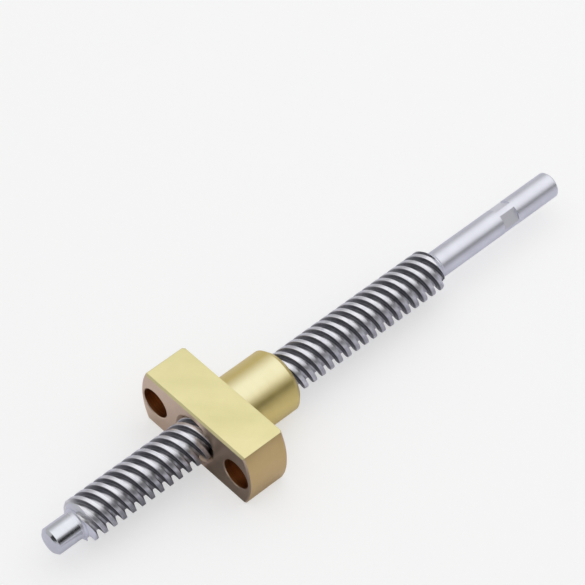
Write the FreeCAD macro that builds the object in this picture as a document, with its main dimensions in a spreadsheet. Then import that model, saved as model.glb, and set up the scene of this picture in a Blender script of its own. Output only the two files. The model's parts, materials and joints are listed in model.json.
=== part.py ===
"""Lead screw with a brass flange nut: four-start trapezoidal thread, 8 mm diameter, 8 mm lead.

Frame, in millimetres: +X runs along the screw axis towards the drive end, +Z is normal to the two
flats of the nut's flange, and the origin lies on the axis where the support journal ends and a
bearing seats against the screw's collar.
"""
import FreeCAD, Part
import math
import os
import Sketcher
from FreeCAD import Placement, Rotation, Vector

# ---------------------------------------------------------------- driving dimensions

DIMENSIONS = (
    ("journal_diameter", 5.0, "plain journal at the support end"),
    ("journal_length", 5.0, "from the bearing seat to the tip of the journal"),
    ("journal_chamfer", 0.5, "chamfer at the tip of the journal"),
    ("collar_diameter", 5.8, "small collar where a plain end meets the thread"),
    ("collar_length", 0.7, "from the bearing seat to the thread"),
    ("collar_rise", 0.2, "length of the cone up to the support end's collar"),
    ("collar_overlap", 0.3, "length of the collar inside the threaded part"),
    ("neck_diameter", 5.06, "foot of the support end's collar, a slight taper from the seat"),
    ("drive_cone", 0.5, "length of the drive end's cone, from the collar to the shaft"),
    ("thread_diameter", 8.0, "outside diameter of the thread"),
    ("thread_length", 80.3, "between the two shoulders"),
    ("thread_pitch", 2.0, "axial distance between neighbouring ridges"),
    ("thread_starts", 4, "separate ridges, so the lead is starts x pitch"),
    ("thread_depth", 1.25, "from crest to root"),
    ("crest_width", 0.8, "axial width of a ridge's flat top"),
    ("flank_angle", 15.0, "slope of one flank, half of the thread angle"),
    ("thread_phase", 32.0, "angle of a ridge in the plane of the origin, from +Y towards +Z"),
    ("near_chamfer", 0.8, "depth of the thread chamfer at the support end"),
    ("far_chamfer", 1.2, "depth of the thread chamfer at the drive end"),
    ("end_rounding", 0.08, "outward step of the chamfers' middle, which rounds the ends"),
    ("end_section", 6.0, "length of thread that carries a turned end"),
    ("shaft_diameter", 5.0, "plain drive shaft"),
    ("shaft_length", 29.0, "from the shoulder to the tip of the drive shaft"),
    ("shaft_chamfer", 0.35, "chamfer at the tip of the drive shaft"),
    ("flats_start", 15.4, "from the shoulder to the four wrench flats"),
    ("flats_length", 3.5, "length of the wrench flats along the axis"),
    ("flats_width", 4.2, "across two opposite wrench flats"),
    ("flats_roll", 55.0, "direction of one wrench flat, from +Y towards +Z"),
    ("nut_position", 26.0, "from the bearing seat to the nut's open flange face"),
    ("flange_diameter", 27.2, "round ends of the flange"),
    ("flange_width", 12.0, "across the two flats of the flange"),
    ("flange_thickness", 8.5, "along the axis"),
    ("flange_bevel", 0.35, "edge break along the flats, on the flange's open face"),
    ("front_rim", 0.25, "edge break of the flange's round ends, on its open face"),
    ("back_rim", 0.35, "edge break of the flange's round ends, on the barrel's side"),
    ("barrel_diameter", 11.9, "barrel behind the flange"),
    ("barrel_length", 10.5, "from the flange to the barrel's end"),
    ("barrel_chamfer", 0.9, "chamfer at the end of the barrel"),
    ("hole_spacing", 20.2, "between the two mounting holes"),
    ("hole_diameter", 5.8, "mounting holes"),
    ("hole_chamfer", 0.15, "rim of the mounting holes"),
    ("bore_diameter", 6.1, "minor diameter of the internal thread"),
    ("mouth_diameter", 9.4, "countersink at both ends of the bore"),
    ("root_clearance", 0.25, "crest of the screw to the root of the nut's thread"),
    ("flank_clearance", 0.1, "axial gap on each flank of the mating threads"),
)

doc = FreeCAD.newDocument("LeadScrew")
sheet = doc.addObject("Spreadsheet::Sheet", "Sizes")
for row, (alias, value, meaning) in enumerate(DIMENSIONS, start=1):
    sheet.set(f"A{row}", alias)
    sheet.set(f"B{row}", str(value))
    sheet.set(f"C{row}", meaning)
    sheet.setAlias(f"B{row}", alias)
doc.recompute()

SUPPORT_SHOULDER = "collar_length"
DRIVE_SHOULDER = "collar_length + thread_length"
FLANGE_END = "nut_position + flange_thickness"
NUT_END = "nut_position + flange_thickness + barrel_length"

X_AXIS = Vector(1, 0, 0)
ALONG_X = Rotation(Vector(0, 1, 0), 90)


def size(alias):
    """Value of one cell of the sheet."""
    return float(sheet.get(alias))


def formula(text):
    """Expression with each alias of the sheet written as Sizes.alias."""
    words = text.replace("(", "( ").replace(")", " )").split()
    aliases = {alias for alias, _, _ in DIMENSIONS}
    return " ".join(f"Sizes.{word}" if word in aliases else word for word in words)


# ---------------------------------------------------------------- sketches and revolved bodies

def origin_plane(body, role):
    return next(item for item in body.Origin.OriginFeatures if item.Role == role)


def new_sketch(body, name, role):
    sketch = body.newObject("Sketcher::SketchObject", name)
    sketch.AttachmentSupport = (origin_plane(body, role), "")
    sketch.MapMode = "FlatFace"
    return sketch


def bind(sketch, constraint, text):
    """Add a dimension to a sketch and drive it from the sheet."""
    index = sketch.addConstraint(constraint)
    sketch.setExpression(f"Constraints[{index}]", formula(text))


def place_point(sketch, line, across, up):
    """Fix the start of a sketch line by two expressions; a zero puts it on the sketch's axis."""
    if across == "0":
        sketch.addConstraint(Sketcher.Constraint("PointOnObject", line, 1, -2))
    else:
        value = sketch.evalExpression(formula(across))
        bind(sketch, Sketcher.Constraint("DistanceX", -1, 1, line, 1, float(value)), across)
    if up == "0":
        sketch.addConstraint(Sketcher.Constraint("PointOnObject", line, 1, -1))
    else:
        value = sketch.evalExpression(formula(up))
        bind(sketch, Sketcher.Constraint("DistanceY", -1, 1, line, 1, float(value)), up)


def add_outline(sketch, corners):
    """Closed outline of straight lines through corners, each a pair of expressions."""
    first = sketch.GeometryCount
    points = [Vector(float(sketch.evalExpression(formula(across))),
                     float(sketch.evalExpression(formula(up))), 0) for across, up in corners]
    for start, end in zip(points, points[1:] + points[:1]):
        sketch.addGeometry(Part.LineSegment(start, end))
    count = len(corners)
    for step in range(count):
        after = first + (step + 1) % count
        sketch.addConstraint(Sketcher.Constraint("Coincident", first + step, 2, after, 1))
    for step, (across, up) in enumerate(corners):
        place_point(sketch, first + step, across, up)


def turned_body(name, corners):
    """Body turned about the X axis from an outline of (position, radius) expressions."""
    body = doc.addObject("PartDesign::Body", name)
    sketch = new_sketch(body, f"{name}Outline", "XZ_Plane")
    add_outline(sketch, corners)
    turning = body.newObject("PartDesign::Revolution", f"{name}Turning")
    turning.Profile = sketch
    turning.ReferenceAxis = (sketch, ["H_Axis"])
    turning.Angle = 360
    sketch.Visibility = False
    doc.recompute()
    return body


# ---------------------------------------------------------------- trapezoidal thread

def polar_point(position, radius, degrees):
    angle = math.radians(degrees)
    return Vector(position, radius * math.cos(angle), radius * math.sin(angle))


def thread_section(position, crest_radius, root_radius, crest_width):
    """Section of the multi-start thread across the axis, turned to its phase at that position."""
    lead = size("thread_starts") * size("thread_pitch")
    turn_per_length = 360 / lead
    flank_run = (crest_radius - root_radius) * math.tan(math.radians(size("flank_angle")))
    crest_half = crest_width / 2 * turn_per_length
    root_half = (crest_width / 2 + flank_run) * turn_per_length
    middle_half = (crest_half + root_half) / 2
    middle_radius = (crest_radius + root_radius) / 2
    start_step = 360 / size("thread_starts")
    phase = size("thread_phase") + position * turn_per_length

    def arc(*ends):
        return Part.Arc(*(polar_point(position, radius, angle) for radius, angle in ends)).toShape()

    edges = []
    for start in range(int(size("thread_starts"))):
        ridge = phase + start * start_step
        groove = ridge + start_step / 2
        next_ridge = ridge + start_step
        edges.append(arc((root_radius, ridge - root_half), (middle_radius, ridge - middle_half),
                         (crest_radius, ridge - crest_half)))
        edges.append(arc((crest_radius, ridge - crest_half), (crest_radius, ridge),
                         (crest_radius, ridge + crest_half)))
        edges.append(arc((crest_radius, ridge + crest_half), (middle_radius, ridge + middle_half),
                         (root_radius, ridge + root_half)))
        edges.append(arc((root_radius, ridge + root_half), (root_radius, groove),
                         (root_radius, next_ridge - root_half)))
    return Part.Wire(edges)


def thread_solid(name, start, length, crest_radius, root_radius, crest_width):
    """Right-hand thread: the section moves along X and turns once per lead."""
    lead = size("thread_starts") * size("thread_pitch")
    end = start + length
    spine = Part.Wire([Part.makeLine(Vector(start, 0, 0), Vector(end, 0, 0))])
    guide = Part.makeHelix(lead, length, crest_radius)
    guide.Placement = Placement(Vector(start, 0, 0), Rotation(Vector(1, 1, 1), 120))
    sweep = Part.BRepOffsetAPI.MakePipeShell(spine)
    sweep.setAuxiliarySpine(Part.Wire(guide.Edges), True, 0)
    sweep.add(thread_section(start, crest_radius, root_radius, crest_width), False, False)
    sweep.build()
    sweep.makeSolid()
    feature = doc.addObject("Part::Feature", name)
    feature.Shape = sweep.shape()
    return feature


def boolean(kind, name, base, tool):
    feature = doc.addObject(f"Part::{kind}", name)
    feature.Base = base
    feature.Tool = tool
    doc.recompute()
    return feature


# ---------------------------------------------------------------- support journal

def make_support_journal():
    """Plain journal at the support end, up to the bearing seat."""
    journal = turned_body("SupportJournal", (
        ("0 - journal_length", "0"),
        ("0 - journal_length", "journal_diameter / 2 - journal_chamfer"),
        ("journal_chamfer - journal_length", "journal_diameter / 2"),
        ("0", "journal_diameter / 2"),
        ("0", "0"),
    ))
    journal.Label = "support_journal"
    return journal


# ---------------------------------------------------------------- lead screw

def make_support_collar():
    """Tapered neck and ring between the support journal and the thread."""
    return turned_body("SupportCollar", (
        ("0", "0"),
        ("0", "journal_diameter / 2"),
        (f"{SUPPORT_SHOULDER} - collar_rise", "neck_diameter / 2"),
        (SUPPORT_SHOULDER, "collar_diameter / 2"),
        (f"{SUPPORT_SHOULDER} + collar_overlap", "collar_diameter / 2"),
        (f"{SUPPORT_SHOULDER} + collar_overlap", "0"),
    ))


def make_drive_shaft():
    """Plain shaft beyond the thread, with its collar and the chamfer at its tip."""
    return turned_body("DriveShaft", (
        (f"{DRIVE_SHOULDER} - collar_overlap", "0"),
        (f"{DRIVE_SHOULDER} - collar_overlap", "collar_diameter / 2"),
        (DRIVE_SHOULDER, "collar_diameter / 2"),
        (f"{DRIVE_SHOULDER} + drive_cone", "shaft_diameter / 2"),
        (f"{DRIVE_SHOULDER} + shaft_length - shaft_chamfer", "shaft_diameter / 2"),
        (f"{DRIVE_SHOULDER} + shaft_length", "shaft_diameter / 2 - shaft_chamfer"),
        (f"{DRIVE_SHOULDER} + shaft_length", "0"),
    ))


def make_end_cutter(name, shoulder, outward, chamfer):
    """Ring that faces the thread at a shoulder and rounds its crests with two cones, a steep
    one and a shallow one; outward is - or +."""
    inward = "+" if outward == "-" else "-"
    spare = "thread_depth"
    short = f"({chamfer} / 2 - end_rounding)"
    long = f"({chamfer} / 2 + end_rounding)"
    return turned_body(name, (
        (f"{shoulder} {outward} thread_pitch * 2", "0"),
        (shoulder, "0"),
        (shoulder, f"thread_diameter / 2 - {chamfer}"),
        (f"{shoulder} {inward} {short}", f"thread_diameter / 2 - {short}"),
        (f"{shoulder} {inward} {chamfer} {inward} {spare} * {long} / {short}",
         f"thread_diameter / 2 + {spare}"),
        (f"{shoulder} {outward} thread_pitch * 2", f"thread_diameter / 2 + {spare}"),
    ))


def make_flats_cutter():
    """Ring around a square: what is milled off the drive shaft to leave four wrench flats."""
    stock = doc.addObject("Part::Cylinder", "FlatsStock")
    stock.setExpression("Radius", formula("thread_diameter / 2"))
    square = doc.addObject("Part::Prism", "FlatsSquare")
    square.Polygon = 4
    square.setExpression("Circumradius", formula("flats_width / sqrt( 2 )"))
    for item in (stock, square):
        item.setExpression("Height", formula("flats_length"))
    stock.Placement = Placement(Vector(), ALONG_X)
    roll = Rotation(X_AXIS, size("flats_roll") + 45)
    square.Placement = Placement(Vector(), roll * ALONG_X)
    for item in (stock, square):
        item.setExpression("Placement.Base.x", formula(f"{DRIVE_SHOULDER} + flats_start"))
    return boolean("Cut", "FlatsCutter", stock, square)


def make_screw_thread(name, start, end):
    crest_radius = size("thread_diameter") / 2
    return thread_solid(name, start, end - start, crest_radius,
                        crest_radius - size("thread_depth"), size("crest_width"))


def make_lead_screw():
    """The two turned ends are finished on short threads, then joined by the long middle one."""
    margin = size("thread_pitch")
    near_shoulder = size("collar_length")
    far_shoulder = near_shoulder + size("thread_length")
    near_joint = near_shoulder + size("end_section")
    far_joint = far_shoulder - size("end_section")
    near_thread = make_screw_thread("SupportEndThread", near_shoulder - margin, near_joint)
    near_cutter = make_end_cutter("SupportEndCutter", SUPPORT_SHOULDER, "-", "near_chamfer")
    near_faced = boolean("Cut", "SupportEndFaced", near_thread, near_cutter)
    near_end = boolean("Fuse", "SupportEnd", near_faced, make_support_collar())

    far_thread = make_screw_thread("DriveEndThread", far_joint, far_shoulder + margin)
    far_cutter = make_end_cutter("DriveEndCutter", DRIVE_SHOULDER, "+", "far_chamfer")
    far_faced = boolean("Cut", "DriveEndFaced", far_thread, far_cutter)
    shaft = boolean("Cut", "ShaftWithFlats", make_drive_shaft(), make_flats_cutter())
    far_end = boolean("Fuse", "DriveEnd", far_faced, shaft)

    middle = make_screw_thread("MiddleThread", near_joint, far_joint)
    near_and_middle = boolean("Fuse", "NearAndMiddle", near_end, middle)
    screw = boolean("Fuse", "LeadScrew", near_and_middle, far_end)
    screw.Label = "lead_screw"
    return screw


# ---------------------------------------------------------------- flange nut

def edges_where(shape, test):
    """Names of the edges of a shape for which test(edge) is true."""
    return [f"Edge{index}" for index, edge in enumerate(shape.Edges, start=1) if test(edge)]


def add_pocket(body, name, sketch):
    """Cut a sketch through the whole body, in both directions."""
    pocket = body.newObject("PartDesign::Pocket", name)
    pocket.Profile = sketch
    pocket.Type = "ThroughAll"
    pocket.Midplane = True
    sketch.Visibility = False
    doc.recompute()
    return pocket


def add_chamfer(body, name, base, edges, alias):
    chamfer = body.newObject("PartDesign::Chamfer", name)
    chamfer.Base = (base, edges)
    chamfer.setExpression("Size", formula(alias))
    doc.recompute()
    return chamfer


def cut_flange_flats(body):
    """Mill the two flats, above and below the barrel."""
    sketch = new_sketch(body, "FlangeFlatsOutline", "YZ_Plane")
    for side in ("", "0 - "):
        add_outline(sketch, (
            ("0 - flange_diameter", f"{side}flange_width / 2"),
            ("flange_diameter", f"{side}flange_width / 2"),
            ("flange_diameter", f"{side}flange_diameter"),
            ("0 - flange_diameter", f"{side}flange_diameter"),
        ))
    return add_pocket(body, "FlangeFlats", sketch)


def drill_mounting_holes(body):
    sketch = new_sketch(body, "MountingHolesOutline", "YZ_Plane")
    for side in ("", "0 - "):
        across = f"{side}hole_spacing / 2"
        value = float(sketch.evalExpression(formula(across)))
        radius = size("hole_diameter") / 2
        circle = sketch.addGeometry(Part.Circle(Vector(value, 0, 0), Vector(0, 0, 1), radius))
        sketch.addConstraint(Sketcher.Constraint("PointOnObject", circle, 3, -1))
        bind(sketch, Sketcher.Constraint("DistanceX", -1, 1, circle, 3, value), across)
        bind(sketch, Sketcher.Constraint("Diameter", circle, 2 * radius), "hole_diameter")
    return add_pocket(body, "MountingHoles", sketch)


def make_tap():
    """Solid that leaves the internal thread: the screw's thread with its running clearances."""
    clearance = size("root_clearance")
    slope = math.tan(math.radians(size("flank_angle")))
    groove_width = size("crest_width") + 2 * size("flank_clearance") - 2 * clearance * slope
    margin = size("thread_pitch")
    nut_length = size("flange_thickness") + size("barrel_length")
    return thread_solid("Tap", size("nut_position") - margin, nut_length + 2 * margin,
                        size("thread_diameter") / 2 + clearance, size("bore_diameter") / 2,
                        groove_width)


def make_countersink(name, face, inward):
    """Cone that opens one end of the threaded bore; inward is the sign of the cone's tip."""
    return turned_body(name, (
        (face, "0"),
        (face, "mouth_diameter / 2"),
        (f"{face} {inward} mouth_diameter / 2", "0"),
    ))


def make_nut_blank():
    """Turned and milled nut before it is tapped: flange with flats and holes, and barrel."""
    body = turned_body("NutBlank", (
        ("nut_position", "0"),
        ("nut_position", "flange_diameter / 2 - front_rim"),
        ("nut_position + front_rim", "flange_diameter / 2"),
        (f"{FLANGE_END} - back_rim", "flange_diameter / 2"),
        (FLANGE_END, "flange_diameter / 2 - back_rim"),
        (FLANGE_END, "barrel_diameter / 2"),
        (f"{NUT_END} - barrel_chamfer", "barrel_diameter / 2"),
        (NUT_END, "barrel_diameter / 2 - barrel_chamfer"),
        (NUT_END, "0"),
    ))
    front = size("nut_position")
    back = front + size("flange_thickness")

    def lies_on(edge, face):
        box = edge.BoundBox
        return box.XLength < 1e-6 and abs(box.XMin - face) < 1e-6

    def front_straight(edge):
        return lies_on(edge, front) and edge.Curve.TypeId == "Part::GeomLine"

    def hole_rim(edge):
        curve = edge.Curve
        return ((lies_on(edge, front) or lies_on(edge, back))
                and curve.TypeId == "Part::GeomCircle"
                and abs(curve.Radius - size("hole_diameter") / 2) < 1e-6)

    flats = cut_flange_flats(body)
    add_chamfer(body, "FlatsBevel", flats, edges_where(flats.Shape, front_straight),
                "flange_bevel")
    holes = drill_mounting_holes(body)
    body.Tip = add_chamfer(body, "HoleRims", holes, edges_where(holes.Shape, hole_rim),
                           "hole_chamfer")
    doc.recompute()
    return body


def make_flange_nut():
    nut = boolean("Cut", "TappedNut", make_nut_blank(), make_tap())
    for name, face, inward in (("Flange", "nut_position", "+"), ("Barrel", NUT_END, "-")):
        cone = make_countersink(f"{name}Countersink", face, inward)
        nut = boolean("Cut", f"{name}MouthCut", nut, cone)
    nut.Label = "flange_nut"
    return nut


# ---------------------------------------------------------------- check and write

def check_document():
    for item in doc.Objects:
        if "Invalid" in item.State or "Error" in item.State:
            raise RuntimeError(f"{item.Label} failed: {item.State}")


def write_part(part):
    shape = part.Shape
    if shape.isNull() or not shape.isValid() or len(shape.Solids) != 1:
        raise RuntimeError(f"{part.Label} isn't one valid solid")
    shape.exportStep(f"parts/{part.Label}.step")
    print(f"{part.Label}: {shape.Volume:.1f} mm3, {len(shape.Faces)} faces")


pieces = (make_support_journal(), make_lead_screw(), make_flange_nut())
doc.recompute()
check_document()
os.makedirs("parts", exist_ok=True)
for piece in pieces:
    write_part(piece)
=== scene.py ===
import json
import math

import bmesh
import bpy
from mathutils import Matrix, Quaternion, Vector


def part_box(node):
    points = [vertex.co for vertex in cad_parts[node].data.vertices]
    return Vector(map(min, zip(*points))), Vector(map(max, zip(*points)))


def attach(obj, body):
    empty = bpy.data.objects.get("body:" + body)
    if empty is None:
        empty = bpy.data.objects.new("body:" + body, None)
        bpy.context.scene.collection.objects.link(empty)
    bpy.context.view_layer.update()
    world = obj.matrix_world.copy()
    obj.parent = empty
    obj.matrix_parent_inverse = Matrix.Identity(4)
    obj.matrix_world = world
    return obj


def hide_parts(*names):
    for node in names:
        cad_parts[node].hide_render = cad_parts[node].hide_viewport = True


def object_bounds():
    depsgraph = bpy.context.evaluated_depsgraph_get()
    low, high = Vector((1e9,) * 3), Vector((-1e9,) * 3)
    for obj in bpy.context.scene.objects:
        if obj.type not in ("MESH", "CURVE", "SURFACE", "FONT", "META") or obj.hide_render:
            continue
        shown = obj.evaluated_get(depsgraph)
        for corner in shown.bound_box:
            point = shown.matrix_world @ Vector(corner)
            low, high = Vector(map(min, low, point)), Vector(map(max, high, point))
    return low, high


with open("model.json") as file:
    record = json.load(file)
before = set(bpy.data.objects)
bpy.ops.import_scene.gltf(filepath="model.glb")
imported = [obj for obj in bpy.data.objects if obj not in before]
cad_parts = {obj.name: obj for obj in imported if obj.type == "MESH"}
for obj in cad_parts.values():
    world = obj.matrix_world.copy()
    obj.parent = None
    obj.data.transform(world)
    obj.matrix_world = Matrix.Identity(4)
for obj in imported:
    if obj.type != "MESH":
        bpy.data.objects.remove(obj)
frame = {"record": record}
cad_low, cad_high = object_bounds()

# Everything is in metres, in the frame of the CAD model: +X along the screw towards its drive
# end, +Z normal to the flats of the nut's flange, origin at the bearing seat.

MM = 0.001

# ---------------------------------------------------------------- sizes

MOUNTS = {mount["name"]: mount for mount in frame["record"]["mounts"]}


def mount_size(name, key):
    """One of a mount's sizes, in metres."""
    return MOUNTS[name]["dims"][key] * MM


journal_low, journal_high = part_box("support_journal")
_, screw_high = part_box("lead_screw")
nut_low, nut_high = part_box("flange_nut")

PITCH = 2.0 * MM
STARTS = 4
LEAD = STARTS * PITCH
THREAD_PHASE = math.radians(32.0)      # angle of a ridge in the plane x = 0
THREAD_RADIUS = screw_high.y
THREAD_DEPTH = 1.25 * MM
ROOT_RADIUS = THREAD_RADIUS - THREAD_DEPTH
CREST_WIDTH = 0.8 * MM
CREST_ROUND = 0.09 * MM
ROOT_ROUND = 0.16 * MM
FLANK_SLOPE = math.tan(math.radians(15))

COLLAR_RADIUS = 2.9 * MM
COLLAR_RISE = 0.2 * MM
COLLAR_OVERLAP = 0.3 * MM
COLLAR_STEP = 0.01 * MM                # half the width of the step at a collar's inner end
COLLAR_INSET = 0.06 * MM               # how far a turned end stays below its collar
NECK_RADIUS = 2.53 * MM
DRIVE_CONE = 0.5 * MM
THREAD_LENGTH = 80.3 * MM
NEAR_SHOULDER = 0.7 * MM
FAR_SHOULDER = NEAR_SHOULDER + THREAD_LENGTH
NEAR_CHAMFER = 0.8 * MM
END_ROUNDING = 0.08 * MM
FAR_CHAMFER = 1.2 * MM

JOURNAL_RADIUS = mount_size("support_bearing_seat", "r_mm")
JOURNAL_CHAMFER = 0.5 * MM
FACE_GAP = 0.002 * MM                  # between the journal and the screw that turns on it
SHAFT_RADIUS = mount_size("drive_shaft", "r_mm")
SHAFT_CHAMFER = 0.35 * MM
FLATS_START = FAR_SHOULDER + 15.4 * MM
FLATS_LENGTH = 3.5 * MM
FLATS_HALF_WIDTH = 2.1 * MM
FLATS_ROLL = math.radians(55)
EDGE_ROUND = 0.12 * MM                 # both edges of a turned end's chamfer
CENTRE_RADIUS = 0.3 * MM               # innermost ring of a turned end's flat face

FLANGE_FRONT = nut_low.x
FLANGE_BACK = MOUNTS["nut_seat"]["pos_m"][0]
NUT_END = nut_high.x
FLANGE_RADIUS = nut_high.y
FRONT_RIM = 0.25 * MM
BACK_RIM = 0.35 * MM
FLANGE_HALF_WIDTH = nut_high.z
FLANGE_BEVEL = 0.35 * MM
BARREL_RADIUS = mount_size("nut_barrel", "r_mm")
BARREL_CHAMFER = 0.9 * MM
HOLE_OFFSET = mount_size("nut_bolts", "spacing_x_mm") / 2
HOLE_RADIUS = mount_size("nut_bolts", "hole_r_mm")
HOLE_CHAMFER = 0.15 * MM
MOUTH_RADIUS = 4.7 * MM
BORE_RADIUS = 3.05 * MM
ROOT_CLEARANCE = 0.25 * MM
FLANK_CLEARANCE = 0.1 * MM
NUT_ROOT_ROUND = 0.12 * MM
NUT_CREST_ROUND = 0.06 * MM
FLANGE_CORNER = 0.15 * MM              # rounding between a flat and a round end
FACE_INSET = 0.2 * MM                  # run of flat face that a rim's rounding starts from

FULL_TURN = 2 * math.pi
QUARTER_TURN = math.pi / 2
TURN_STEPS = 120                       # divisions of one turn in every turned or threaded mesh
LONGEST_RUN = 0.3 * MM                 # of one edge across a thread
TINY = 1e-8


# ---------------------------------------------------------------- mesh helpers

def rounded_corners(points, radii, steps=3):
    """Open line through points with each inner corner replaced by an arc of its own radius."""
    line = [points[0]]
    for before, corner, after, radius in zip(points, points[1:], points[2:], radii):
        back = (Vector(before) - Vector(corner)).normalized()
        ahead = (Vector(after) - Vector(corner)).normalized()
        half_angle = back.angle(ahead) / 2
        reach = radius / math.tan(half_angle)
        centre = Vector(corner) + (back + ahead).normalized() * radius / math.sin(half_angle)
        start = Vector(corner) + back * reach - centre
        end = Vector(corner) + ahead * reach - centre
        for step in range(steps + 1):
            spoke = start.lerp(end, step / steps).normalized() * radius
            line.append(tuple(centre + spoke))
    line.append(points[-1])
    return line


def divided(line, longest):
    """The same line with extra points, so that no run is longer than the given length."""
    result = [line[0]]
    for start, end in zip(line, line[1:]):
        runs = max(1, math.ceil((Vector(end) - Vector(start)).length / longest))
        result += [tuple(Vector(start).lerp(Vector(end), run / runs)) for run in range(1, runs + 1)]
    return result


def thread_outline(crest_radius, root_radius, crest_width, crest_round, root_round):
    """One pitch of the thread in the axial plane, from groove to groove, as (x, radius)."""
    crest = crest_width / 2
    root = crest + (crest_radius - root_radius) * FLANK_SLOPE
    corners = [(-PITCH / 2, root_radius), (-root, root_radius), (-crest, crest_radius),
               (crest, crest_radius), (root, root_radius), (PITCH / 2, root_radius)]
    radii = [root_round, crest_round, crest_round, root_round]
    return divided(rounded_corners(corners, radii), LONGEST_RUN)


def radius_of(place):
    """Distance from the screw's axis."""
    return math.hypot(place.y, place.z)


def split_at(mesh, level, within=lambda place: True):
    """Cut edges into the mesh where level(place) is zero, so that a change of shape is crisp."""
    values = {vert: level(vert.co) if within(vert.co) else None for vert in mesh.verts}
    marks = {vert for vert, value in values.items() if value is not None and abs(value) < TINY}
    for edge in mesh.edges[:]:
        first, second = edge.verts
        low, high = values[first], values[second]
        if low is None or high is None or low * high >= 0 or first in marks or second in marks:
            continue
        marks.add(bmesh.utils.edge_split(edge, first, low / (low - high))[1])
    for face in mesh.faces[:]:
        ends = [vert for vert in face.verts if vert in marks]
        if len(ends) == 2 and not mesh.edges.get(ends):
            bmesh.utils.face_split(face, *ends)


def cut_plane(mesh, x, side=0):
    """Cut edges into the mesh at a plane; side -1 or 1 removes what lies beyond it."""
    normal = (-1, 0, 0) if side < 0 else (1, 0, 0)
    bmesh.ops.bisect_plane(mesh, geom=mesh.verts[:] + mesh.edges[:] + mesh.faces[:], dist=TINY,
                           plane_co=(x, 0, 0), plane_no=normal, clear_outer=side != 0)


def add_thread(mesh, outline, low, high):
    """Helical surface between two planes: made longer than that, then cut."""
    row_line = outline[:-1]
    per_pitch = len(row_line)
    offset = -THREAD_PHASE / FULL_TURN * LEAD
    spare_pitches = 4
    first_ridge = math.floor((low - LEAD - PITCH - offset) / PITCH)
    pitches = math.ceil((high - low + LEAD) / PITCH) + spare_pitches
    rows = []
    for pitch in range(first_ridge, first_ridge + pitches):
        for across, radius in row_line:
            ring = []
            for step in range(TURN_STEPS):
                angle = FULL_TURN * step / TURN_STEPS
                x = offset + pitch * PITCH + across + LEAD * step / TURN_STEPS
                place = (x, radius * math.cos(angle), radius * math.sin(angle))
                ring.append(mesh.verts.new(place))
            rows.append(ring)
    turn = STARTS * per_pitch
    last = TURN_STEPS - 1
    for row, (ring, after) in enumerate(zip(rows, rows[1:])):
        for step in range(last):
            mesh.faces.new((ring[step], after[step], after[step + 1], ring[step + 1]))
        if row + 1 + turn < len(rows):
            mesh.faces.new((ring[last], after[last], rows[row + 1 + turn][0],
                            rows[row + turn][0]))
    cut_plane(mesh, low, -1)
    cut_plane(mesh, high, 1)


def set_radii(mesh, limit):
    """Move each point straight in or out to limit(x, radius)."""
    for vert in mesh.verts:
        radius = radius_of(vert.co)
        scale = limit(vert.co.x, radius) / radius
        vert.co.y *= scale
        vert.co.z *= scale


def open_loop(mesh, x):
    """Open edges in one plane."""
    return [edge for edge in mesh.edges if edge.is_boundary
            and all(abs(vert.co.x - x) < 10 * TINY for vert in edge.verts)]


def turn_angles(extra=()):
    """Angles of one turn, with extra ones where an edge runs along the axis."""
    even = [FULL_TURN * step / TURN_STEPS for step in range(TURN_STEPS)]
    spare = 0.2 * FULL_TURN / TURN_STEPS
    kept = [angle for angle in even if all(abs(angle - other) > spare for other in extra)]
    return sorted(kept + list(extra))


def add_ring(mesh, x, radius, angles, centre_y=0.0):
    """Ring about a line parallel to X; radius is a number or a function of the angle."""
    size = radius if callable(radius) else (lambda angle: radius)
    return [mesh.verts.new((x, centre_y + size(a) * math.cos(a), size(a) * math.sin(a)))
            for a in angles]


def join_rings(mesh, ring, after):
    """Faces between two rings of as many points."""
    count = len(ring)
    for step in range(count):
        follow = (step + 1) % count
        mesh.faces.new((ring[step], after[step], after[follow], ring[follow]))


def add_lathe(mesh, outline, angles, centre_y=0.0):
    """Surface through rings at (x, radius) points. Returns the first and the last ring."""
    rings = [add_ring(mesh, x, radius, angles, centre_y) for x, radius in outline]
    for ring, after in zip(rings, rings[1:]):
        join_rings(mesh, ring, after)
    return rings[0], rings[-1]


def loop_edges(mesh, ring):
    """Edges round a ring, made where they're missing."""
    return [mesh.edges.get((a, b)) or mesh.edges.new((a, b))
            for a, b in zip(ring, ring[1:] + ring[:1])]


def fill_flat(mesh, edges, normal):
    """Flat face between loops of edges, holes left open."""
    bmesh.ops.triangle_fill(mesh, use_beauty=True, use_dissolve=False, edges=edges, normal=normal)


def cap_ring(mesh, ring, x):
    """Close a ring with triangles round a centre."""
    centre = mesh.verts.new((x, 0, 0))
    for a, b in zip(ring, ring[1:] + ring[:1]):
        mesh.faces.new((a, b, centre))


def finish_mesh(mesh, name, sharp_degrees):
    """Make an object of the mesh: smooth shading with sharp edges kept sharp."""
    bmesh.ops.remove_doubles(mesh, verts=mesh.verts, dist=10 * TINY)
    bmesh.ops.dissolve_degenerate(mesh, edges=mesh.edges, dist=TINY)
    bmesh.ops.recalc_face_normals(mesh, faces=mesh.faces)
    data = bpy.data.meshes.new(name)
    mesh.to_mesh(data)
    mesh.free()
    data.shade_smooth()
    data.set_sharp_from_angle(angle=math.radians(sharp_degrees))
    piece = bpy.data.objects.new(name, data)
    bpy.context.scene.collection.objects.link(piece)
    even = piece.modifiers.new("even_normals", "WEIGHTED_NORMAL")
    even.keep_sharp = True
    even.weight = 100                  # larger faces set the normals, the edge rounding doesn't
    return piece


# ---------------------------------------------------------------- screw

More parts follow.
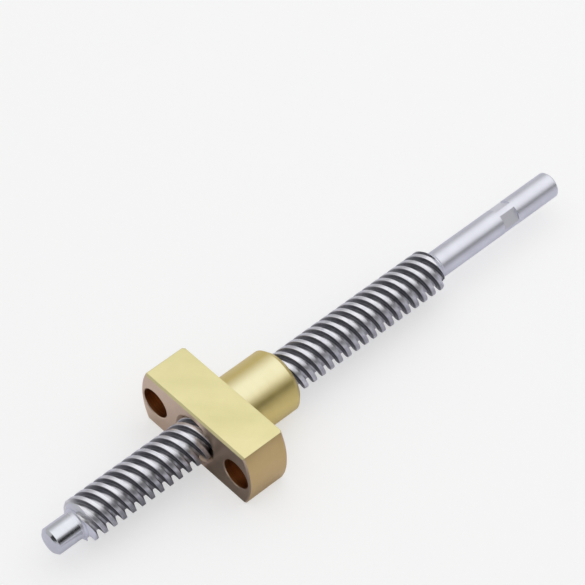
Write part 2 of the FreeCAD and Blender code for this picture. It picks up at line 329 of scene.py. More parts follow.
def make_journal():
    """Plain journal with a broken edge at its tip, a hair short of the screw that turns on it."""
    mesh = bmesh.new()
    tip, end = journal_low.x, journal_high.x - FACE_GAP
    outline = rounded_corners(
        [(tip, CENTRE_RADIUS), (tip, JOURNAL_RADIUS - JOURNAL_CHAMFER),
         (tip + JOURNAL_CHAMFER, JOURNAL_RADIUS), (end, JOURNAL_RADIUS)],
        [EDGE_ROUND, EDGE_ROUND])
    first, last = add_lathe(mesh, outline, turn_angles())
    cap_ring(mesh, first, tip)
    cap_ring(mesh, last, end)
    return finish_mesh(mesh, "journal_turned", 28)


def chamfer_cones(chamfer):
    """Steep and shallow cone at an end of the thread, each as (radius at the shoulder, rise)."""
    short, long = chamfer / 2 - END_ROUNDING, chamfer / 2 + END_ROUNDING
    return ((THREAD_RADIUS - chamfer, long / short),
            (THREAD_RADIUS - chamfer * short / long, short / long))


def near_cone(x):
    """Largest radius that the turned support end leaves at x."""
    return min(base + (x - NEAR_SHOULDER) * rise for base, rise in chamfer_cones(NEAR_CHAMFER))


def far_cone(x):
    """Largest radius that the turned drive end leaves at x."""
    return min(base + (FAR_SHOULDER - x) * rise for base, rise in chamfer_cones(FAR_CHAMFER))


def in_collar(x):
    """Whether a collar fills the thread's grooves at x."""
    return x < NEAR_SHOULDER + COLLAR_OVERLAP or x > FAR_SHOULDER - COLLAR_OVERLAP


def screw_limit(x, radius):
    """Chamfers at both ends of the thread, and the collars that fill its grooves there."""
    trimmed = min(radius, near_cone(x), far_cone(x))
    return max(trimmed, COLLAR_RADIUS) if in_collar(x) else trimmed


def add_screw_thread(mesh):
    """Thread with its rounded ends and its collars, with an edge wherever the shape changes."""
    outline = thread_outline(THREAD_RADIUS, ROOT_RADIUS, CREST_WIDTH, CREST_ROUND, ROOT_ROUND)
    add_thread(mesh, outline, NEAR_SHOULDER, FAR_SHOULDER)
    cut_plane(mesh, NEAR_SHOULDER + NEAR_CHAMFER / 2 - END_ROUNDING)
    cut_plane(mesh, FAR_SHOULDER - FAR_CHAMFER / 2 + END_ROUNDING)
    split_at(mesh, lambda place: radius_of(place) - near_cone(place.x))
    split_at(mesh, lambda place: radius_of(place) - far_cone(place.x))
    for x in (NEAR_SHOULDER + COLLAR_OVERLAP, FAR_SHOULDER - COLLAR_OVERLAP):
        cut_plane(mesh, x - COLLAR_STEP)
        cut_plane(mesh, x + COLLAR_STEP)
    split_at(mesh, lambda place: radius_of(place) - COLLAR_RADIUS,
             lambda place: in_collar(place.x))
    set_radii(mesh, screw_limit)


def add_neck(mesh):
    """Tapered neck between the journal and the thread, and the thread's face there."""
    face = open_loop(mesh, NEAR_SHOULDER)
    ring_radius = COLLAR_RADIUS - COLLAR_INSET
    ring_length = 0.03 * MM
    foot_round, rim_round = 0.1 * MM, 0.03 * MM
    outline = rounded_corners(
        [(0, JOURNAL_RADIUS), (NEAR_SHOULDER - COLLAR_RISE, NECK_RADIUS),
         (NEAR_SHOULDER - ring_length, ring_radius), (NEAR_SHOULDER, ring_radius)],
        [foot_round, rim_round])
    start, end = add_lathe(mesh, outline, turn_angles())
    cap_ring(mesh, start, 0)
    fill_flat(mesh, face + loop_edges(mesh, end), (-1, 0, 0))


def flats_radius(angle):
    """Shaft section at the four wrench flats."""
    off = (angle - FLATS_ROLL + QUARTER_TURN / 2) % QUARTER_TURN - QUARTER_TURN / 2
    return min(SHAFT_RADIUS, FLATS_HALF_WIDTH / math.cos(off))


def flats_corners():
    """Angles at which the wrench flats' edges run along the shaft."""
    corner = math.acos(FLATS_HALF_WIDTH / SHAFT_RADIUS)
    return [(FLATS_ROLL + quarter * QUARTER_TURN + side * corner) % FULL_TURN
            for quarter in range(4) for side in (-1, 1)]


def add_drive_shaft(mesh):
    """Collar's cone, shaft with its four flats, and the thread's face at the drive end."""
    face = open_loop(mesh, FAR_SHOULDER)
    tip = screw_high.x
    ring_radius = COLLAR_RADIUS - COLLAR_INSET
    ring_length = 0.1 * MM
    rim_round, foot_round = 0.1 * MM, 0.3 * MM
    cone = rounded_corners(
        [(FAR_SHOULDER, ring_radius), (FAR_SHOULDER + ring_length, ring_radius),
         (FAR_SHOULDER + DRIVE_CONE, SHAFT_RADIUS), (FLATS_START, SHAFT_RADIUS)],
        [rim_round, foot_round])
    milled = [(FLATS_START, flats_radius), (FLATS_START + FLATS_LENGTH, flats_radius)]
    end_line = rounded_corners(
        [(FLATS_START + FLATS_LENGTH, SHAFT_RADIUS), (tip - SHAFT_CHAMFER, SHAFT_RADIUS),
         (tip, SHAFT_RADIUS - SHAFT_CHAMFER), (tip, CENTRE_RADIUS)], [EDGE_ROUND, EDGE_ROUND])
    start, end = add_lathe(mesh, cone + milled + end_line, turn_angles(flats_corners()))
    cap_ring(mesh, end, tip)
    fill_flat(mesh, face + loop_edges(mesh, start), (1, 0, 0))


def make_screw():
    """Thread, collars and drive shaft in one closed mesh."""
    mesh = bmesh.new()
    add_screw_thread(mesh)
    add_neck(mesh)
    add_drive_shaft(mesh)
    return finish_mesh(mesh, "screw_threaded", 32)


# ---------------------------------------------------------------- nut

def flange_outline(radius, half_width, corner):
    """Disc cut by two flats, its four corners rounded, as (y, z) points in order."""
    centre_y = math.sqrt((radius - corner) ** 2 - (half_width - corner) ** 2)
    centre_z = half_width - corner
    arc_end = math.atan2(centre_z, centre_y)
    quadrant = []
    arc_steps, corner_steps, flat_steps = 20, 4, 14
    for step in range(arc_steps):
        angle = arc_end * step / arc_steps
        quadrant.append((radius * math.cos(angle), radius * math.sin(angle)))
    for step in range(corner_steps + 1):
        angle = arc_end + (QUARTER_TURN - arc_end) * step / corner_steps
        quadrant.append((centre_y + corner * math.cos(angle), centre_z + corner * math.sin(angle)))
    for step in range(1, flat_steps):
        quadrant.append((centre_y * (1 - step / flat_steps), half_width))
    top = quadrant + [(0, half_width)] + [(-y, z) for y, z in reversed(quadrant[1:])]
    return top + [(-y, -z) for y, z in top]


def nut_limit(x, radius):
    """Countersinks at both ends of the threaded bore."""
    return max(radius, MOUTH_RADIUS - (x - FLANGE_FRONT), MOUTH_RADIUS - (NUT_END - x))


def add_nut_thread(mesh):
    """Threaded bore: the screw's thread with its running clearances, countersunk at both ends."""
    root = THREAD_RADIUS + ROOT_CLEARANCE
    width = CREST_WIDTH + 2 * FLANK_CLEARANCE - 2 * ROOT_CLEARANCE * FLANK_SLOPE
    outline = thread_outline(root, BORE_RADIUS, width, NUT_ROOT_ROUND, NUT_CREST_ROUND)
    add_thread(mesh, outline, FLANGE_FRONT, NUT_END)
    split_at(mesh, lambda place: radius_of(place) - MOUTH_RADIUS + place.x - FLANGE_FRONT)
    split_at(mesh, lambda place: radius_of(place) - MOUTH_RADIUS + NUT_END - place.x)
    set_radii(mesh, nut_limit)


def add_flange(mesh):
    """Flange's outside with its edge breaks. Returns its front and its back section."""
    rim = FLANGE_RADIUS - FRONT_RIM
    back_rim = FLANGE_RADIUS - BACK_RIM
    bevelled = FLANGE_HALF_WIDTH - FLANGE_BEVEL
    edge_rounds = [0.06 * MM, 0.04 * MM, 0.06 * MM, 0.12 * MM, 0.05 * MM]
    section_line = rounded_corners(
        [(FLANGE_FRONT, rim - FACE_INSET, bevelled - FACE_INSET), (FLANGE_FRONT, rim, bevelled),
         (FLANGE_FRONT + FRONT_RIM, FLANGE_RADIUS, bevelled + FRONT_RIM),
         (FLANGE_FRONT + FLANGE_BEVEL, FLANGE_RADIUS, FLANGE_HALF_WIDTH),
         (FLANGE_BACK - BACK_RIM, FLANGE_RADIUS, FLANGE_HALF_WIDTH),
         (FLANGE_BACK, back_rim, FLANGE_HALF_WIDTH),
         (FLANGE_BACK, back_rim - FACE_INSET, FLANGE_HALF_WIDTH - FACE_INSET)], edge_rounds)
    sections = []
    for x, radius, half_width in section_line[1:-1]:
        outline = flange_outline(radius, half_width, FLANGE_CORNER)
        sections.append([mesh.verts.new((x, y, z)) for y, z in outline])
    for section, after in zip(sections, sections[1:]):
        join_rings(mesh, section, after)
    return sections[0], sections[-1]


def add_hole(mesh, centre_y):
    """One bolt hole with its chamfered rims. Returns the first and the last ring."""
    outline = [(FLANGE_FRONT, HOLE_RADIUS + HOLE_CHAMFER),
               (FLANGE_FRONT + HOLE_CHAMFER, HOLE_RADIUS),
               (FLANGE_BACK - HOLE_CHAMFER, HOLE_RADIUS),
               (FLANGE_BACK, HOLE_RADIUS + HOLE_CHAMFER)]
    return add_lathe(mesh, outline, turn_angles(), centre_y)


def add_barrel(mesh):
    """Barrel with its chamfered end. Returns the first and the last ring."""
    chamfered = BARREL_RADIUS - BARREL_CHAMFER
    face_run = 0.1 * MM
    shoulder_round, face_round = 0.3 * MM, 0.04 * MM
    outline = rounded_corners(
        [(FLANGE_BACK, BARREL_RADIUS), (NUT_END - BARREL_CHAMFER, BARREL_RADIUS),
         (NUT_END, chamfered), (NUT_END, chamfered - face_run)], [shoulder_round, face_round])
    return add_lathe(mesh, outline, turn_angles())


def make_nut():
    """Flange with flats and two holes, barrel, and the threaded bore, in one closed mesh."""
    mesh = bmesh.new()
    add_nut_thread(mesh)
    front_mouth = open_loop(mesh, FLANGE_FRONT)
    end_mouth = open_loop(mesh, NUT_END)
    front, back = add_flange(mesh)
    front_edges = front_mouth + loop_edges(mesh, front)
    back_edges = loop_edges(mesh, back)
    for side in (-1, 1):
        first, last = add_hole(mesh, side * HOLE_OFFSET)
        front_edges += loop_edges(mesh, first)
        back_edges += loop_edges(mesh, last)
    first, last = add_barrel(mesh)
    back_edges += loop_edges(mesh, first)
    fill_flat(mesh, front_edges, (-1, 0, 0))
    fill_flat(mesh, back_edges, (1, 0, 0))
    fill_flat(mesh, end_mouth + loop_edges(mesh, last), (1, 0, 0))
    return finish_mesh(mesh, "nut_machined", 30)


# ---------------------------------------------------------------- material helpers

NOISE_MIDDLE = (0.3, 0.7)              # where nearly all of a noise's values lie


class Nodes:
    """Short way to write a material's nodes and links."""

    def __init__(self, name):
        self.material = bpy.data.materials.new(name)
        self.material.use_nodes = True
        self.tree = self.material.node_tree
        self.shader = self.tree.nodes["Principled BSDF"]

    def add(self, kind, inputs=(), **settings):
        """New node with its inputs, by name or number, and its settings."""
        node = self.tree.nodes.new(kind)
        for name, value in settings.items():
            setattr(node, name, value)
        for name, value in dict(inputs).items():
            self.put(node.inputs[name], value)
        return node

    def put(self, socket, value):
        """Link a socket to an output, or set its number."""
        if isinstance(value, bpy.types.NodeSocket):
            self.tree.links.new(value, socket)
        else:
            socket.default_value = value

    def math(self, operation, first, second=0.0):
        inputs = {0: first, 1: second}
        return self.add("ShaderNodeMath", inputs, operation=operation).outputs[0]

    def scaled(self, value, factor):
        return self.math("MULTIPLY", value, factor)

    def position(self):
        """Place on the piece, in its own coordinates, so that a finish moves with it."""
        return self.add("ShaderNodeTexCoord").outputs["Object"]

    def facing(self):
        """Parts of the surface's normal, in the piece's own coordinates."""
        return self.split(self.add("ShaderNodeTexCoord").outputs["Normal"])

    def split(self, vector):
        return self.add("ShaderNodeSeparateXYZ", {0: vector}).outputs

    def vector(self, x, y, z):
        return self.add("ShaderNodeCombineXYZ", {0: x, 1: y, 2: z}).outputs[0]

    def noise(self, vector, scale=1.0, detail=3.0, roughness=0.5):
        return self.add("ShaderNodeTexNoise", {"Vector": vector, "Scale": scale, "Detail": detail,
                                               "Roughness": roughness}).outputs["Fac"]

    def ramp(self, factor, stops):
        """Colour ramp; each stop is (place, grey or colour)."""
        node = self.add("ShaderNodeValToRGB", {"Fac": factor})
        elements = node.color_ramp.elements
        while len(elements) < len(stops):
            elements.new(0.5)
        for element, (place, colour) in zip(elements, stops):
            element.position = place
            shade = (colour,) * 3 if isinstance(colour, (int, float)) else colour
            element.color = (*shade, 1)
        return node.outputs["Color"]

    def mix(self, factor, first, second, blend="MIX"):
        """Mix of two colours."""
        node = self.add("ShaderNodeMix", data_type="RGBA", blend_type=blend)
        self.put(node.inputs[0], factor)
        self.put(node.inputs[6], first)
        self.put(node.inputs[7], second)
        return node.outputs[2]

    def multiplied(self, first, second):
        return self.mix(1.0, first, second, "MULTIPLY")

    def blend(self, factor, first, second):
        """Mix of two numbers."""
        return self.add("ShaderNodeMix", {0: factor, 2: first, 3: second}).outputs[0]

    def span(self, value, low, high, to_low=0.0, to_high=1.0):
        inputs = {"Value": value, "From Min": low, "From Max": high, "To Min": to_low,
                  "To Max": to_high}
        return self.add("ShaderNodeMapRange", inputs).outputs[0]

    def spread(self, noise, low, high):
        """Spread the middle of a noise over a range."""
        return self.span(noise, *NOISE_MIDDLE, low, high)

    def bump(self, height, strength, distance):
        node = self.add("ShaderNodeBump", {"Height": height, "Strength": strength,
                                           "Distance": distance})
        self.put(self.shader.inputs["Normal"], node.outputs[0])


def ring_marks(nodes, x, y, z, along, across):
    """Noise drawn out round the axis, as a turning tool leaves it."""
    return nodes.noise(nodes.vector(nodes.scaled(x, along), nodes.scaled(y, across),
                                    nodes.scaled(z, across)))


def axis_distance(nodes, y, z):
    """Distance of (y, z) from zero."""
    return nodes.math("SQRT", nodes.math("ADD", nodes.math("MULTIPLY", y, y),
                                         nodes.math("MULTIPLY", z, z)))


def both(nodes, first, second):
    """1 where both masks are 1."""
    return nodes.math("MULTIPLY", first, second)


def between(nodes, value, low, high):
    """1 where the value lies between two limits."""
    return both(nodes, nodes.math("GREATER_THAN", value, low),
                nodes.math("LESS_THAN", value, high))


def cone_gap(nodes, radius, inset, chamfer):
    """How far a point stands out of the cones at an end, inset along the axis from there."""
    steep, shallow = [nodes.math("SUBTRACT", nodes.math("SUBTRACT", radius, base),
                                 nodes.scaled(inset, rise))
                      for base, rise in chamfer_cones(chamfer)]
    return nodes.math("MAXIMUM", steep, shallow)


# ---------------------------------------------------------------- steel

def steel_ground():
    """Ground steel of the journal: fine rings left by turning, faint smears."""
    nodes = Nodes("steel_ground")
    place = nodes.position()
    rings = ring_marks(nodes, *nodes.split(place), along=9000.0, across=260.0)
    smear = nodes.noise(place, scale=300.0)
    tint = nodes.ramp(smear, [(0.3, (0.72, 0.74, 0.79)), (0.7, (0.80, 0.82, 0.88))])
    nodes.put(nodes.shader.inputs["Base Color"], tint)
    nodes.shader.inputs["Metallic"].default_value = 1.0
    nodes.put(nodes.shader.inputs["Roughness"], nodes.spread(rings, 0.13, 0.24))
    nodes.bump(rings, strength=0.10, distance=0.02 * MM)
    return nodes.material


def thread_streaks(nodes, x, y, z):
    """Noise drawn out along the ridges, which it follows round the screw."""
    across, along = 17.0, 420.0
    turn = nodes.math("ARCTAN2", z, y)
    ridge = nodes.math("SUBTRACT", nodes.scaled(x, FULL_TURN / LEAD), turn)
    drawn = nodes.vector(nodes.scaled(nodes.math("COSINE", ridge), across),
                         nodes.scaled(nodes.math("SINE", ridge), across),
                         nodes.scaled(x, along))
    return nodes.noise(drawn, detail=4.0, roughness=0.6)


def unshaded_entry_grey(nodes, x):
    """Grey that fades out past the support end's shoulder: it lifts the painted groove shade where
    no ridge before the first flank shades it.
    """
    entry = nodes.span(x, NEAR_SHOULDER + 0.9 * MM, NEAR_SHOULDER + 2.0 * MM, 0.95, 0.0)
    return nodes.add("ShaderNodeCombineColor", {0: entry, 1: entry, 2: entry}).outputs[0]


def rolled_colour(nodes, place, x, height, streaks):
    """Dull roots, flanks darkened with painted shade between the ridges and a paler line part-way
    up them, and bright streaked crests.
    """
    # The dark stops between roots and crests are painted shade between the ridges.
    rolled = nodes.ramp(height, [(0.0, (0.80, 0.80, 0.82)), (0.08, (0.62, 0.62, 0.64)),
                                 (0.16, (0.32, 0.32, 0.34)), (0.34, (0.36, 0.36, 0.38)),
                                 (0.45, (0.60, 0.60, 0.63)), (0.56, (0.38, 0.38, 0.40)),
                                 (0.84, (0.34, 0.34, 0.36)), (0.94, (0.56, 0.56, 0.58)),
                                 (0.985, (0.88, 0.88, 0.92))])
    # Near the support end the painted groove shade is lifted to pale grey.
    rolled = nodes.mix(1.0, rolled, unshaded_entry_grey(nodes, x), "LIGHTEN")
    streaked = nodes.ramp(streaks, [(0.30, (0.70, 0.70, 0.74)), (0.58, 1.0)])
    patches = nodes.noise(place, scale=900.0)
    wear_and_painted_highlight = nodes.ramp(patches, [(0.25, (0.82, 0.82, 0.84)), (0.55, 1.0)])
    return nodes.multiplied(nodes.multiplied(rolled, streaked), wear_and_painted_highlight)


def rolled_mask(nodes, x, radius):
    """1 on the rolled thread, 0 on everything that was turned."""
    skin_depth_and_painted_shade, face_skin = 0.03 * MM, 0.005 * MM
    near_gap = cone_gap(nodes, radius, nodes.math("SUBTRACT", x, NEAR_SHOULDER), NEAR_CHAMFER)
    far_gap = cone_gap(nodes, radius, nodes.math("SUBTRACT", FAR_SHOULDER, x), FAR_CHAMFER)
    on_thread = between(nodes, x, NEAR_SHOULDER + face_skin, FAR_SHOULDER - face_skin)
    off_cones = nodes.math("LESS_THAN", nodes.math("MAXIMUM", near_gap, far_gap), -skin_depth_and_painted_shade)
    return both(nodes, on_thread, off_cones)


def turned_colour(nodes, place, on_flats):
    """Smeared bright steel, paler on the wrench flats."""
    smear = nodes.noise(place, scale=240.0)
    turned = nodes.ramp(smear, [(0.3, (0.75, 0.76, 0.83)), (0.7, (0.83, 0.84, 0.91))])
    return nodes.mix(on_flats, turned, (0.89, 0.89, 0.94, 1))


def steel_rolled():
    """The screw's steel: rolled on the thread, turned at both ends, milled on the flats."""
    nodes = Nodes("steel_rolled")
    place = nodes.position()
    x, y, z = nodes.split(place)
    radius = axis_distance(nodes, y, z)
    height = nodes.span(radius, ROOT_RADIUS, THREAD_RADIUS)
    streaks = thread_streaks(nodes, x, y, z)
    rings = ring_marks(nodes, x, y, z, along=8000.0, across=240.0)
    is_rolled = rolled_mask(nodes, x, radius)
    on_flats = both(nodes, between(nodes, x, FLATS_START, FLATS_START + FLATS_LENGTH),
                    nodes.math("LESS_THAN", radius, SHAFT_RADIUS - 0.004 * MM))

    colour = nodes.mix(is_rolled, turned_colour(nodes, place, on_flats),
                       rolled_colour(nodes, place, x, height, streaks))
    nodes.put(nodes.shader.inputs["Base Color"], colour)
    nodes.shader.inputs["Metallic"].default_value = 1.0
    rough_turned = nodes.math("ADD", nodes.spread(rings, 0.36, 0.41),
                              nodes.scaled(on_flats, 0.10))
    rough_rolled = nodes.ramp(height, [(0.0, 0.33), (0.14, 0.46), (0.80, 0.46), (1.0, 0.33)])
    nodes.put(nodes.shader.inputs["Roughness"],
              nodes.blend(is_rolled, rough_turned, rough_rolled))
    marks = nodes.blend(is_rolled, rings, streaks)
    nodes.bump(marks, strength=nodes.span(is_rolled, 0.0, 1.0, 0.03, 0.13), distance=0.03 * MM)
    return nodes.material


# ---------------------------------------------------------------- brass

def brass_areas(nodes, x, y, z, radius, facing):
    """Masks of the nut's flats, its end faces, the flange's round ends, and its holes."""
    aslant, square_on = 0.6, 0.9       # parts of the normal along an axis
    flat_skin, hole_skin = 0.5 * MM, 0.02 * MM
    round_from, bore_to = 12.4 * MM, 3.6 * MM

    flange = nodes.math("LESS_THAN", x, FLANGE_BACK + 0.01 * MM)
    outside = nodes.math("GREATER_THAN", nodes.math("ABSOLUTE", z), nut_high.z - flat_skin)
    on_flat = nodes.math("GREATER_THAN", nodes.math("ABSOLUTE", facing[2]), aslant)
    on_flat = both(nodes, both(nodes, on_flat, outside), flange)

    along = nodes.math("ABSOLUTE", facing[0])
    on_rim = both(nodes, nodes.math("GREATER_THAN", along, aslant), flange)
    on_face = nodes.math("MAXIMUM", on_rim, nodes.math("GREATER_THAN", along, square_on))
    on_round = both(nodes, flange, nodes.math("GREATER_THAN", radius, round_from))

    offset = nodes.math("SUBTRACT", nodes.math("ABSOLUTE", y), HOLE_OFFSET)
    bolt_hole = nodes.math("LESS_THAN", axis_distance(nodes, offset, z), HOLE_RADIUS + hole_skin)
    bore = nodes.math("LESS_THAN", radius, bore_to)
    in_hole = both(nodes, nodes.math("MAXIMUM", bolt_hole, bore),
                   nodes.math("LESS_THAN", on_face, 0.5))
    return on_flat, on_face, on_round, in_hole


def tarnished(nodes, tarnish, dark, pale):
    """Colour between two shades, by how tarnished a place is."""
    return nodes.ramp(tarnish, [(0.25, dark), (0.75, pale)])


def barrel_colour(nodes, tarnish, facing):
    """Turned brass with a painted highlight: paler where it faces up and a little towards -Y, a
    darker, more saturated gold elsewhere.
    """
    # Both tints vary at random with the tarnish; the paler one is the painted highlight.
    wear_and_painted_highlight = tarnished(nodes, tarnish, (0.87, 0.80, 0.50), (0.92, 0.86, 0.58))
    off_highlight_gold = tarnished(nodes, tarnish, (0.85, 0.68, 0.25), (0.91, 0.75, 0.31))
    toward_painted_highlight = nodes.math("SUBTRACT", nodes.scaled(facing[2], 0.97), nodes.scaled(facing[1], 0.24))
    return nodes.mix(nodes.span(toward_painted_highlight, 0.84, 0.985), off_highlight_gold, wear_and_painted_highlight)


def milled_colour(nodes, tarnish, x, y):
    """Milled brass with a broad diagonal sheen."""
    milled = tarnished(nodes, tarnish, (0.85, 0.77, 0.41), (0.93, 0.85, 0.48))
    sheen = nodes.noise(nodes.vector(nodes.scaled(nodes.math("ADD", x, y), 90.0),
                                     nodes.scaled(y, 25.0), 0.0), detail=2.0)
    return nodes.multiplied(milled, nodes.ramp(sheen, [(0.35, (0.93, 0.94, 0.90)), (0.65, 1.0)]))


def milling_strokes(nodes, x, y, z):
    """Noise drawn out aslant, as a milling cutter leaves it."""
    aslant = nodes.math("ADD", nodes.scaled(x, 2600.0), nodes.scaled(y, 1900.0))
    return nodes.noise(nodes.vector(aslant, nodes.scaled(y, 140.0), nodes.scaled(z, 900.0)),
                       detail=4.0, roughness=0.6)


def brass_machined():
    """Machined brass: milled flats, turned rounds, and painted shade: browner gold on the flange's
    round ends, a darker taupe on the end faces, dark brown in the holes.
    """
    nodes = Nodes("brass_satin")
    place = nodes.position()
    x, y, z = nodes.split(place)
    facing = nodes.facing()
    radius = axis_distance(nodes, y, z)
    on_flat, on_face, on_round, in_hole = brass_areas(nodes, x, y, z, radius, facing)

    rings = ring_marks(nodes, x, y, z, along=6500.0, across=150.0)
    faced_rings = nodes.noise(nodes.vector(nodes.scaled(radius, 5200.0), 0.0, 0.0))
    tarnish = nodes.noise(place, scale=130.0, detail=4.0, roughness=0.6)

    # Browner, darker gold on the flange's round ends: painted shade standing in for the shadowed
    # floor that they reflect.
    skin_depth_and_painted_shade = tarnished(nodes, tarnish, (0.68, 0.49, 0.22), (0.76, 0.57, 0.28))
    # Darker taupe on the end faces: painted shade.
    face_painted_shade = tarnished(nodes, tarnish, (0.70, 0.54, 0.40), (0.84, 0.66, 0.50))
    # Dark brown in the holes and the bore: painted shade in the recesses.
    hole_painted_shade = nodes.ramp(rings, [(0.30, (0.38, 0.17, 0.06)), (0.70, (0.52, 0.27, 0.10))])
    tint = nodes.mix(on_round, barrel_colour(nodes, tarnish, facing), skin_depth_and_painted_shade)
    tint = nodes.mix(on_face, tint, face_painted_shade)
    tint = nodes.mix(on_flat, tint, milled_colour(nodes, tarnish, x, y))
    tint = nodes.mix(in_hole, tint, hole_painted_shade)
    nodes.put(nodes.shader.inputs["Base Color"], tint)
    nodes.shader.inputs["Metallic"].default_value = 1.0
    marks = nodes.blend(on_flat, rings, milling_strokes(nodes, x, y, z))
    marks = nodes.blend(on_face, marks, faced_rings)
    nodes.put(nodes.shader.inputs["Roughness"], nodes.spread(marks, 0.30, 0.42))
    nodes.bump(marks, strength=0.09, distance=0.03 * MM)
    return nodes.material


# ---------------------------------------------------------------- floor paint

def plain_floor():
    """Matt pale floor that gives off some light of its own, which keeps its shadows faint."""
    nodes = Nodes("floor_pale")
    nodes.shader.inputs["Base Color"].default_value = (0.50, 0.50, 0.50, 1)
    nodes.shader.inputs["Roughness"].default_value = 0.9
    nodes.shader.inputs["Emission Color"].default_value = (1, 1, 1, 1)
    nodes.shader.inputs["Emission Strength"].default_value = 0.515
    return nodes.material


# ---------------------------------------------------------------- pieces on their bodies

def place_piece(piece, node, body, material):
    """Put a mesh in a CAD node's place, on the body that carries it."""
    piece.data.materials.append(material)
    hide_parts(node)
    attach(piece, body)


place_piece(make_journal(), "support_journal", "bearing_end", steel_ground())
place_piece(make_screw(), "lead_screw", "screw", steel_rolled())
place_piece(make_nut(), "flange_nut", "nut", brass_machined())


# ---------------------------------------------------------------- floor, lights, camera

FLOOR_REACH = 1.5
FLOOR_TINT = (0.985, 0.975, 1.06)      # of the floor as the metal reflects it


def make_floor():
    """Floor under the flange, which is the object's lowest part."""
    mesh = bmesh.new()
    bmesh.ops.create_grid(mesh, x_segments=1, y_segments=1, size=FLOOR_REACH)
    data = bpy.data.meshes.new("floor")
    mesh.to_mesh(data)
    mesh.free()
    floor = bpy.data.objects.new("floor", data)
    floor.location = (0, 0, nut_low.z)
    bpy.context.scene.collection.objects.link(floor)
    data.materials.append(plain_floor())


def add_area_light(name, place, target, width, depth, radiance):
    """Rectangular light whose surface looks as bright as its radiance."""
    light = bpy.data.lights.new(name, "AREA")
    light.shape = "RECTANGLE"
    light.size = width
    light.size_y = depth
    light.energy = math.pi * radiance * width * depth
    lamp = bpy.data.objects.new(name, light)
    lamp.location = place
    lamp.rotation_mode = "QUATERNION"
    lamp.rotation_quaternion = (Vector(target) - Vector(place)).to_track_quat("-Z", "Y")
    bpy.context.scene.collection.objects.link(lamp)


def make_world(strength):
    """Even white surroundings."""
    world = bpy.data.worlds.new("studio")
    world.use_nodes = True
    background = world.node_tree.nodes["Background"]
    background.inputs["Color"].default_value = (1, 1, 1, 1)
    background.inputs["Strength"].default_value = strength
    bpy.context.scene.world = world


def make_camera():
    """Camera above the support end, at the photograph's viewing angle."""
    azimuth = math.radians(-41.74)
    elevation = math.radians(49.25)
    roll = math.radians(-1.03)
    distance = 0.4745
    aim = Vector((0.0593, 0.01245, 0))
    back = Vector((math.sin(azimuth) * math.cos(elevation),
                   -math.cos(azimuth) * math.cos(elevation), math.sin(elevation)))
    data = bpy.data.cameras.new("camera")
    data.lens = 169.2
    data.sensor_width = 36
    data.clip_start = 0.01
    camera = bpy.data.objects.new("camera", data)
    camera.location = aim + back * distance
    camera.rotation_mode = "QUATERNION"
    level = (-back).to_track_quat("-Z", "Y")
    camera.rotation_quaternion = level @ Quaternion((0, 0, 1), roll)
    bpy.context.scene.collection.objects.link(camera)
    bpy.context.scene.camera = camera


def add_flag(name, corners, shade, tint=(1, 1, 1)):
    """Card seen only in reflections; corners run round its edge."""
    mesh = bmesh.new()
    mesh.faces.new([mesh.verts.new(corner) for corner in corners])
    data = bpy.data.meshes.new(name)
    mesh.to_mesh(data)
    mesh.free()
    card = bpy.data.objects.new(name, data)
    card.visible_camera = False
    card.visible_diffuse = False
    card.visible_shadow = False
    nodes = Nodes(name + "_paint")
    nodes.shader.inputs["Base Color"].default_value = (*[shade * part for part in tint], 1)
    nodes.shader.inputs["Roughness"].default_value = 1.0
    nodes.shader.inputs["Specular IOR Level"].default_value = 0.0
    data.materials.append(nodes.material)
    bpy.context.scene.collection.objects.link(card)


def square_to_screw(angle, distance):
    """Place at a distance from the screw's axis, at an angle from +Z towards -Y, as (y, z)."""
    turn = math.radians(angle)
    return -math.sin(turn) * distance, math.cos(turn) * distance


def make_band_card(name, reach, angles, span, shade):
    """Card along the screw at a distance from its axis, between two angles from +Z towards -Y
    and two places along X."""
    high_y, high_z = square_to_screw(angles[0], reach)
    low_y, low_z = square_to_screw(angles[1], reach)
    near_x, far_x = span
    add_flag(name, [(near_x, low_y, low_z), (far_x, low_y, low_z),
                    (far_x, high_y, high_z), (near_x, high_y, high_z)], shade)


def make_floor_card(name, low, high, lift, shade):
    """Greyer card over the floor, between two corners (x, y), seen only in reflections."""
    height = nut_low.z + lift
    add_flag(name, [(low[0], low[1], height), (high[0], low[1], height),
                    (high[0], high[1], height), (low[0], high[1], height)], shade, FLOOR_TINT)


def make_end_card(name, reach, side_angles, rise_angles, shade):
    """Card off the support end, between two turns from -X towards -Y and two heights."""
    corners = []
    for side, rise in ((0, 0), (1, 0), (1, 1), (0, 1)):
        turn, lift = math.radians(side_angles[side]), math.radians(rise_angles[rise])
        corners.append((-reach * math.cos(lift) * math.cos(turn),
                        -reach * math.cos(lift) * math.sin(turn), reach * math.sin(lift)))
    add_flag(name, corners, shade)


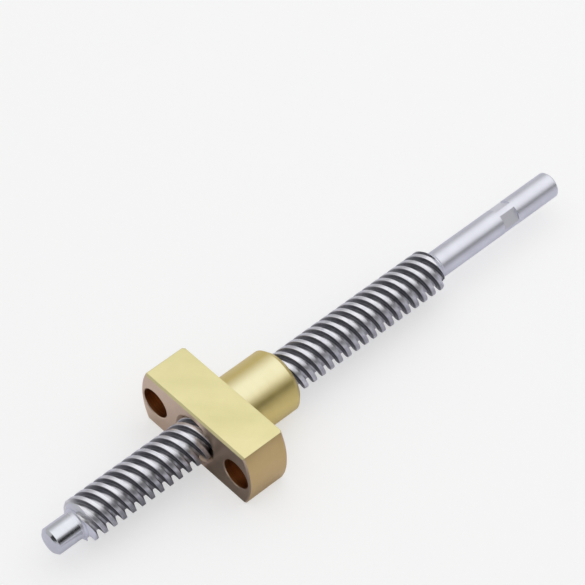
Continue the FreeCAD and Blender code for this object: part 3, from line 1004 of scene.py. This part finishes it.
def make_softbox(layers):
    """Softbox over the screw, dimming towards its edges: stacked panels, each given by two
    angles from +Z towards -Y and by its radiance."""
    top, panel_gap = 0.55, 0.004
    length, shift = 1.5, 0.40          # along the screw, and beyond its middle
    middle = (cad_low + cad_high) / 2
    for number, (low_angle, high_angle, radiance) in enumerate(layers):
        height = top - panel_gap * number
        back_y = -math.tan(math.radians(low_angle)) * height
        front_y = -math.tan(math.radians(high_angle)) * height
        centre = (middle.x + shift, (front_y + back_y) / 2, height)
        add_area_light("softbox_%d" % number, centre, (centre[0], centre[1], 0), length,
                       back_y - front_y, radiance)


def make_floor_cards():
    """The greyer floor as the metal reflects it, and painted shadow on it: darker stretches beside
    the thread, where the screw and the nut shade the floor.
    """
    under, over = 0.05 * MM, 0.10 * MM
    make_floor_card("floor_card", (-FLOOR_REACH, -FLOOR_REACH), (FLOOR_REACH, FLOOR_REACH),
                    under, 0.78)
    # front_card, near_card and thread_card are painted shadow of the screw and the nut on the
    # reflected floor.
    make_floor_card("front_card", (9 * MM, -32 * MM), (FLANGE_FRONT, -2 * MM), over, 0.26)
    make_floor_card("near_card", (3 * MM, -32 * MM), (9 * MM, -3 * MM), over, 0.50)
    make_floor_card("thread_card", (52 * MM, -32 * MM), (84 * MM, -5 * MM), over, 0.49)


def make_band_cards():
    """The dark line along the screw, and nearer bands for single stretches of it."""
    make_band_card("dark_line", 0.7, (59, 75), (-0.6, 1.4), 0.03)
    make_band_card("journal_shade", 0.108, (44, 92), (10 * MM, 48 * MM), 0.32)
    make_band_card("journal_line", 0.095, (55, 79), (8 * MM, 46 * MM), 0.04)
    make_band_card("near_thread_shade", 0.098, (40, 70), (40 * MM, 70 * MM), 0.04)
    make_band_card("near_thread_line", 0.1, (70, 93), (49 * MM, 72 * MM), 0.22)
    make_band_card("far_thread_line", 0.1, (70, 93), (94 * MM, 132 * MM), 0.26)


bpy.context.scene.view_settings.view_transform = "Standard"
make_floor()
make_world(strength=0.50)
make_softbox([(-57, 51, 0.135), (-47, 46, 0.145), (-38, 39, 0.145), (-28, 30, 0.135)])
make_floor_cards()
make_band_cards()
make_end_card("end_line", 0.35, (-14, 28), (8, 34), 0.04)
make_camera()
